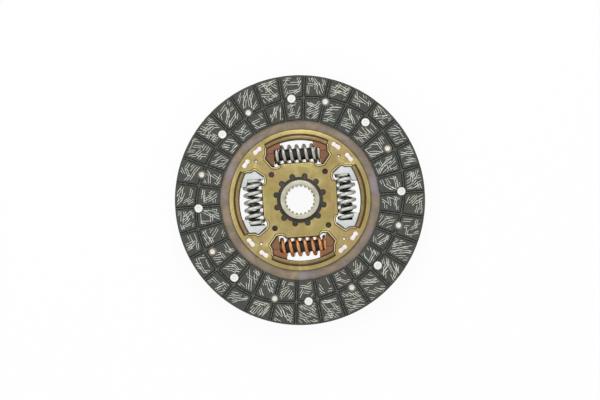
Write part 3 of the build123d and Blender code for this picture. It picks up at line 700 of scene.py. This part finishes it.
def blockNumber(point):
    degrees = math.degrees(math.atan2(point.y, point.x))
    sector = int(((degrees - facing["grooveStart"]) % 360) // (360 / facing["grooves"]))
    return 2 * sector + (1 if point.to_2d().length > ovalRadius(degrees) else 0)


def addShades(mesh, seed):
    picker = random.Random(seed)
    shades = [picker.random() for _ in range(2 * facing["grooves"])]
    values = [shades[blockNumber(vertex.co)] for vertex in mesh.vertices]
    mesh.attributes.new("shade", "FLOAT", "POINT").data.foreach_set("value", values)


def rivetPoints(start):
    count = facing["rivets"]
    return [polar(facing["rivetRadius"], start + 360 / count * number) for number in range(count)]


def buildFacing(sideName, side):
    way, back = side["way"], side["back"]
    top = back + way * facing["thickness"]
    floor = top - way * facing["grooveDepth"]
    seat = back + way * facing["seatThickness"]
    far, near = top + way * mm, back - way * mm
    ownPoints, otherPoints = rivetPoints(side["ownStart"]), rivetPoints(side["otherStart"])
    overlap = 0.2 * mm  # how far a shank's cut reaches into the cut for its head
    heads = [(point, facing["holeRadius"], *sorted((seat, far))) for point in ownPoints]
    heads += [(point, facing["holeRadius"], *sorted((near, far))) for point in otherPoints]
    shanks = [(point, facing["shankHoleRadius"], *sorted((near, seat + way * overlap))) for point in ownPoints]
    blocks = meshFrom("blocks", lambda work: blockBodies(work, floor, top))
    blocks = cutAway(blocks, heads)
    base = meshFrom("base", lambda work: ringBody(
        work, facing["innerRadius"], facing["outerRadius"], *sorted((back, floor))))
    base = cutAway(cutAway(base, heads), shanks)
    base.polygons.foreach_set("material_index", [2] * len(base.polygons))
    mesh = meshFrom(sideName + "Facing", lambda work: [work.from_mesh(part) for part in (blocks, base)])
    addShades(mesh, side["seed"])
    shadeByAngle(mesh, 40)
    piece = addPiece(sideName + "Facing", mesh,
                     *(materials[part] for part in ("facingSurface", "cutFacingEdge", "grooveFloor")))
    standFor(piece, "disc", "facing", sideName + "_facing")
    return top


def yarnZone(work):
    block = work.faces.layers.int.new("block")
    turn = work.faces.layers.float.new("turn")
    for number in range(facing["grooves"]):
        for outerRow in (True, False):
            outline, _ = blockOutline(number, outerRow, facing["yarnMargin"])
            face = work.faces.new([work.verts.new(point) for point in outline])
            face.normal_update()
            if face.normal.z < 0:
                face.normal_flip()
            face[block] = 2 * number + outerRow
            face[turn] = math.radians(facing["grooveStart"] + 360 / facing["grooves"] * (number + 0.5))


yarn = {"spacing": 4.2 * mm, "density": 70000.0, "strandLength": 13 * mm, "strandGap": 2.0 * mm,
        "strandRadius": 0.27 * mm, "wiggle": 1.9 * mm, "rivetMargin": 5.2 * mm, "thickness": 0.4}


def faceWay(piece, way):  # the rear facing's pieces are mirrored
    piece.data.transform(Matrix.Diagonal((1, 1, way, 1)))
    if way < 0:
        piece.data.flip_normals()


def buildYarn(sideName, side, top):
    zone = addPiece("yarnZone", meshFrom("yarnZone", yarnZone))
    holes = addPiece("yarnHoles", meshFrom("yarnHoles", lambda work: [
        work.verts.new(point) for start in (side["ownStart"], side["otherStart"]) for point in rivetPoints(start)]))
    values = {"zone": zone, "rivets": holes, "seed": side["seed"], "material": materials["glassYarn"], **yarn}
    piece = runGroup(sideName + "FacingYarn", groups["yarn"], values)
    faceWay(piece, side["way"])
    piece.data.transform(Matrix.Translation((0, 0, top)))
    removeAll(zone, holes)
    standFor(piece, "disc", "facing")
    return piece


for sideName, side in facingSides.items():
    top = buildFacing(sideName, side)
    strands = buildYarn(sideName, side, top)
    print(sideName, "facing with yarn, faces", len(strands.data.polygons))


# facing rivets: one turned rivet, set eight times round the circle

rivet = {  # radius and height above the facing's back, from the hollow round to the clinched end
    "profile": [
        (0, -0.9), (1.2, -0.9), (1.2, -1.6), (1.45, -1.7), (2.5, -1.7), (2.95, -1.45), (2.95, -1.0), (2.0, -1.0),
        (2.0, 1.5), (4.05, 1.5), (4.15, 1.6), (4.15, 2.3), (3.95, 2.5), (2.0, 2.5), (1.75, 1.3), (1.3, 1.3),
        (1.1, 2.3), (0, 2.45)],
    "steps": 40, "smoothTo": 32,
}


def turnedProfile(work, profile, steps):
    loops = []
    for radius, height in profile:
        count = steps if radius else 1  # one point on the axis
        loops.append([work.verts.new(polar(radius * mm, 360 * step / steps, height * mm)) for step in range(count)])
    for first, second in zip(loops, loops[1:]):
        wallBetween(work, first, second)
    bmesh.ops.recalc_face_normals(work, faces=work.faces)


for sideName, side in facingSides.items():
    turned = meshFrom("oneRivet", lambda work: turnedProfile(work, rivet["profile"], rivet["steps"]))
    shape = addPiece("oneRivet", turned)
    faceWay(shape, side["way"])
    shadeByAngle(shape.data, rivet["smoothTo"])
    piece = runGroup(sideName + "FacingRivets", groups["circle"], {
        "shape": shape, "count": facing["rivets"], "radius": facing["rivetRadius"],
        "startAngle": math.radians(side["ownStart"]), "material": materials["rivetZinc"]})
    piece.data.transform(Matrix.Translation((0, 0, side["back"])))
    removeAll(shape)
    standFor(piece, "disc", "rivet", sideName + "_facing_rivets")
print("facing rivets")


# pressed and moulded parts: copies of the fixed shapes with softened edges

def joinCorners(work):
    bmesh.ops.remove_doubles(work, verts=work.verts, dist=0.002 * mm)


def softenedCopy(name, nodeName, material, bevel, sharp=30):
    mesh = cadNodes[nodeName].data.copy()
    mesh.materials.clear()
    if "custom_normal" in mesh.attributes:
        mesh.attributes.remove(mesh.attributes["custom_normal"])
    rework(mesh, joinCorners)
    piece = addPiece(name, mesh, material)
    if bevel:
        addModifier(piece, "BEVEL", width=bevel, segments=2, limit_method="ANGLE",
                    angle_limit=math.radians(sharp), use_clamp_overlap=False)
        applyModifiers(piece)
    shadeByAngle(piece.data, sharp)
    return piece


finishes = {  # slot, and the width of the softened edges in mm, by material
    "temperedSteel": ("cushion_steel", 0.12), "goldPlating": ("gold_plated_steel", 0.2),
    "hubSteel": ("hub_steel", 0.15), "darkResin": ("bush_resin", 0.15), "brightSpacerSteel": ("spacer_steel", 0.2),
    "brownResin": ("brown_resin", 0.25), "whiteResin": ("white_resin", 0.25),
}
softParts = [
    {"name": "cushionPlate", "node": "cushion_plate", "material": "temperedSteel"},
    {"name": "frontSidePlate", "node": "front_side_plate", "material": "goldPlating"},
    {"name": "rearSidePlate", "node": "rear_side_plate", "material": "goldPlating"},
    {"name": "hubBody", "node": "hub", "material": "hubSteel", "body": "hub"},
    {"name": "frontBush", "node": "front_bush", "material": "darkResin"},
    {"name": "rearBush", "node": "rear_bush", "material": "darkResin"},
]
softParts += [
    {"name": f"spacerPlate{number}", "node": f"spacer_plate_{number}", "material": "brightSpacerSteel"}
    for number in (1, 2, 3, 4)]
for window in windowTurns:
    resin = "brownResin" if window in ("top", "bottom") else "whiteResin"
    for end, body in (("hub", "hub"), ("plate", "disc")):
        softParts.append({"name": f"{window}{end.title()}Seat", "node": f"{window}_{end}_seat",
                          "material": resin, "body": body})


# side plates: painted highlight on the rims' crests, a darker tone on the lips' crests, painted shade in the bends,
# and a fine dark line of painted shade along every edge

plates = {
    "middle": 17.25 * mm, "face": 7.75 * mm, "rimCrest": 8.2 * mm, "lipCrest": 9 * mm,  # heights
    "bore": 21 * mm, "windowsFrom": 35.5 * mm, "windowFeetTo": 42 * mm,  # distances from the axis
    "bendsFrom": 62 * mm, "lipFootFrom": 63.8 * mm,
    "flat": 0.97, "sloping": 0.9,  # upward share of a face's normal
}
seats = {"linesFrom": 6.5 * mm, "endwise": 0.25, "outward": 0.5}
hubMouth = {"height": 32 * mm, "radius": 15.4 * mm}
creaseAngle = 0.3  # radians


def faceHeight(point):
    return abs(point.z - plates["middle"])


def paintPlate(piece):
    for name in ("wornGold", "lipGold", "bentGold"):
        piece.data.materials.append(materials[name])
    for polygon in piece.data.polygons:
        radius, height = polygon.center.to_2d().length, faceHeight(polygon.center)
        slope = abs(polygon.normal.z)
        if radius > plates["windowsFrom"] and height > plates["face"]:
            # flat crests: painted highlight on the rims' crests, a darker tone on the lips' crests
            if slope > plates["flat"] and height > plates["rimCrest"]:
                polygon.material_index = 2 if height > plates["lipCrest"] else 1
            # sloping faces in the bends: painted shade
            elif slope < plates["sloping"] and radius > plates["bendsFrom"]:
                polygon.material_index = 3


def edgeMiddle(edge):
    return (edge.verts[0].co + edge.verts[1].co) / 2


def overWall(edge):  # an outer edge between an upright face and a flat or sloping one
    slopes = sorted(abs(face.normal.z) for face in edge.link_faces)
    return edge.calc_face_angle_signed(0) > creaseAngle and slopes[0] < 0.1 and slopes[1] > 0.3


# painted shade lines in the creases of the rims and lips, and over the walls of the windows and the plate's edges
def plateEdgeKind(edge):
    middle = edgeMiddle(edge)
    radius = middle.to_2d().length
    if faceHeight(middle) < plates["face"] - 0.05 * mm or radius < plates["bore"]:
        return None
    if edge.calc_face_angle_signed(0) < -creaseAngle:
        if radius < plates["windowsFrom"]:
            return None
        return "LipCreases" if radius > plates["lipFootFrom"] else "RimCreases"
    if overWall(edge):
        nearWindow = faceHeight(middle) > plates["face"] + 0.1 * mm or radius < plates["windowFeetTo"]
        return "WindowLines" if nearWindow else "EdgeLines"
    return None


def seatEdgeKind(edge):  # painted shade lines, only on the walls that look at the window's end or at its lip
    middle = edgeMiddle(edge)
    if not overWall(edge) or faceHeight(middle) < seats["linesFrom"]:
        return None
    wall = min(edge.link_faces, key=lambda face: abs(face.normal.z)).normal
    axis = 0 if abs(middle.x) >= abs(middle.y) else 1  # the direction in which the window lies from the axis
    outward = wall[axis] * math.copysign(1, middle[axis])
    endwise = wall[1 - axis] * math.copysign(1, middle[1 - axis])
    return "Outline" if endwise > seats["endwise"] or outward > seats["outward"] else None


# a dark line of painted shade over the walls at the hub's front end
def hubEdgeKind(edge):
    middle = edgeMiddle(edge)
    atMouth = middle.z > hubMouth["height"] and middle.to_2d().length > hubMouth["radius"]
    return "FrontLines" if overWall(edge) and atMouth else None


shadeLines = {  # which edges of a part carry a dark line of painted shade, by the part's material, and the line's radius
    "goldPlating": {"kindOf": plateEdgeKind, "material": "darkCrease", "radii": {
        "LipCreases": 0.45 * mm, "RimCreases": 0.4 * mm, "WindowLines": 0.4 * mm, "EdgeLines": 0.2 * mm}},
    "hubSteel": {"kindOf": hubEdgeKind, "material": "darkSteel", "radii": {"FrontLines": 0.22 * mm}},
    "brownResin": {"kindOf": seatEdgeKind, "material": "brownResinEdge", "radii": {"Outline": 0.35 * mm}},
    "whiteResin": {"kindOf": seatEdgeKind, "material": "whiteResinEdge", "radii": {"Outline": 0.35 * mm}},
}


def keepEdges(work, nodeName, kindOf, kind):
    work.from_mesh(cadNodes[nodeName].data)
    joinCorners(work)
    work.normal_update()
    others = [edge for edge in work.edges if len(edge.link_faces) != 2 or kindOf(edge) != kind]
    bmesh.ops.delete(work, geom=work.faces, context="FACES_ONLY")
    bmesh.ops.delete(work, geom=others, context="EDGES")
    bmesh.ops.delete(work, geom=[vertex for vertex in work.verts if not vertex.link_edges], context="VERTS")


def buildLines(part, kind, radius, look):
    edges = meshFrom("edges", lambda work: keepEdges(work, part["node"], look["kindOf"], kind))
    values = {"lineRadius": radius, "material": materials[look["material"]]}
    piece = runGroup(part["name"] + kind, groups["lines"], values, edges)
    standFor(piece, part.get("body", "disc"), finishes[part["material"]][0])


for part in softParts:
    slot, bevel = finishes[part["material"]]
    piece = softenedCopy(part["name"], part["node"], materials[part["material"]], bevel * mm)
    standFor(piece, part.get("body", "disc"), slot, part["node"])
    if part["material"] == "goldPlating":
        paintPlate(piece)
    # dark lines of painted shade along the part's edges and creases
    if part["material"] in shadeLines:
        look = shadeLines[part["material"]]
        for kind, radius in look["radii"].items():
            buildLines(part, kind, radius, look)
keptNodes = {"friction_washer": "frictionResin", "friction_plate": "pegSteel", "cone_spring": "darkSteel"}
for nodeName, materialName in keptNodes.items():
    cadNodes[nodeName].data.materials.clear()
    cadNodes[nodeName].data.materials.append(materials[materialName])
print("soft parts", len(softParts))


# damper springs, wound between their two seats

springs = {
    "axisRadius": 46.3 * mm, "height": 17.25 * mm, "length": 46.0 * mm,
    "outer": {"turns": 6.9, "closedTurns": 0.8, "closedPitch": 4.144 * mm, "meanRadius": 8.3 * mm,
              "wireRadius": 1.85 * mm, "hand": 1.0, "pointCount": 260, "wireSides": 16},
    "inner": {"turns": 9.0, "closedTurns": 0.8, "closedPitch": 2.576 * mm, "meanRadius": 4.95 * mm,
              "wireRadius": 1.15 * mm, "hand": -1.0, "pointCount": 300, "wireSides": 12},
}
# where a strand crosses the front, along the window from its middle
frontStrands = {"top": 1.6 * mm, "left": 2.0 * mm, "bottom": -2.7 * mm, "right": -3.0 * mm}
cores = {"halfLength": 18.0 * mm, "bevel": 0.4 * mm}


def strandPhase(look, place):
    openLength = springs["length"] - 2 * look["closedTurns"] * look["closedPitch"]
    openPitch = openLength / (look["turns"] - 2 * look["closedTurns"])
    return math.pi / 2 - look["hand"] * math.tau * place / openPitch


def bendBetween(piece, nodeName):
    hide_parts(nodeName)
    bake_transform(piece)


def buildSpring(window, kind, material, nodeName):
    turn = Matrix.Rotation(math.radians(windowTurns[window]), 4, "Z")
    phase = strandPhase(springs[kind], frontStrands[window] if kind == "outer" else 0)
    values = {"length": springs["length"], "phase": phase, "material": materials[material], **springs[kind]}
    piece = runGroup(f"{window}{kind.title()}Spring", groups["spring"], values)
    piece.data.transform(turn @ Matrix.Translation((0, springs["axisRadius"], springs["height"])))
    bendBetween(piece, nodeName)


def buildCore(window):
    nodeName = f"{window}_bumper"
    piece = softenedCopy(f"{window}RubberCore", nodeName, materials["blackRubber"], cores["bevel"])
    bendBetween(piece, nodeName)


for window in windowTurns:
    # the left and right springs take the paler copy of the grey wire, painted light
    wire = {"top": "greySpringWire", "bottom": "copperSpringWire"}.get(window, "sideSpringWire")
    slot = "copper_spring" if window == "bottom" else "grey_spring"
    buildSpring(window, "outer", wire, f"{window}_spring")
    if window in ("left", "right"):
        buildSpring(window, "inner", "innerSpringWire", f"{window}_inner_spring")
    else:
        buildCore(window)
print("springs")


# floor, lights and camera

def seenDirectly(tree):  # rays from the camera, and those that shiny or clear pieces send on
    path = addNode(tree, "ShaderNodeLightPath").outputs
    seen = math2(tree, "MAXIMUM", path["Is Camera Ray"], path["Is Glossy Ray"])
    return math2(tree, "MAXIMUM", seen, path["Is Transmission Ray"])


def floorMaterial():
    material, tree, shader, coords = newMaterial("paleFloor")
    mottle = ramp(tree, noise(tree, coords, 3, 2), [(0.0, srgb(246, 246, 246)), (1.0, srgb(252, 252, 252))])
    connect(tree, mottle, shader, "Base Color")
    shader.inputs["Roughness"].default_value = 0.8
    share = times(tree, seenDirectly(tree), 0.93)
    glow = madeBy(tree, "ShaderNodeEmission", {"Color": (1, 1, 1, 1), "Strength": 1.0})
    mixed = madeBy(tree, "ShaderNodeMixShader", {0: share, 1: shader.outputs[0], 2: glow})
    tree.links.new(mixed, tree.nodes["Material Output"].inputs["Surface"])
    return material


def floorShape(work):
    bmesh.ops.create_grid(work, x_segments=1, y_segments=1, size=6)


floor = addPiece("floor", meshFrom("floor", floorShape), floorMaterial())
floor.location.z = -0.2 * mm

world = bpy.data.worlds.new("studio")
scene.world = world
world.use_nodes = True
sky = world.node_tree
place = addNode(sky, "ShaderNodeTexCoord").outputs["Generated"]
height = addNode(sky, "ShaderNodeSeparateXYZ", {0: place}).outputs[2]
glow = ramp(sky, height, [(0.0, grey(0.06)), (0.3, grey(0.17)), (0.65, grey(0.8)), (1.0, grey(1.0))])
light = madeBy(sky, "ShaderNodeBackground", {"Color": glow, "Strength": 1.12})
seen = madeBy(sky, "ShaderNodeBackground", {"Color": (1, 1, 1, 1), "Strength": 1.0})
mixed = madeBy(sky, "ShaderNodeMixShader", {0: seenDirectly(sky), 1: light, 2: seen})
sky.links.new(mixed, sky.nodes["World Output"].inputs["Surface"])

lamps = [
    {"name": "backSoftbox", "place": (0.1, 0.7, 0.85), "size": 0.4, "power": 2.2},
    {"name": "leftSoftbox", "place": (-0.8, 0.1, 1.1), "size": 0.6, "power": 1.5},
]
for lamp in lamps:
    light = bpy.data.lights.new(lamp["name"], "AREA")
    light.size = lamp["size"]
    light.energy = lamp["power"]
    lampObject = addPiece(lamp["name"], light)
    lampObject.location = lamp["place"]
    lampObject.rotation_euler = (Vector((0, 0, 0.02)) - Vector(lamp["place"])).to_track_quat("-Z", "Y").to_euler()

view = {"lens": 149.9, "distance": 2.5, "tilt": 2.5, "roll": 3.7, "target": (0, 0, 0.022)}
camera = bpy.data.cameras.new("camera")
camera.lens = view["lens"]
camera.sensor_width = 36
cameraObject = addPiece("camera", camera)
tilt, roll = math.radians(view["tilt"]), math.radians(view["roll"])
back = Vector((0, -math.sin(tilt), math.cos(tilt)))
upGuess = Vector((math.sin(roll), math.cos(roll), 0))
right = upGuess.cross(back).normalized()
cameraTurn = Matrix((right, back.cross(right), back)).transposed().to_4x4()
cameraObject.matrix_world = Matrix.Translation(Vector(view["target"]) + back * view["distance"]) @ cameraTurn
scene.camera = cameraObject
scene.view_settings.view_transform = "Standard"
print("stage")
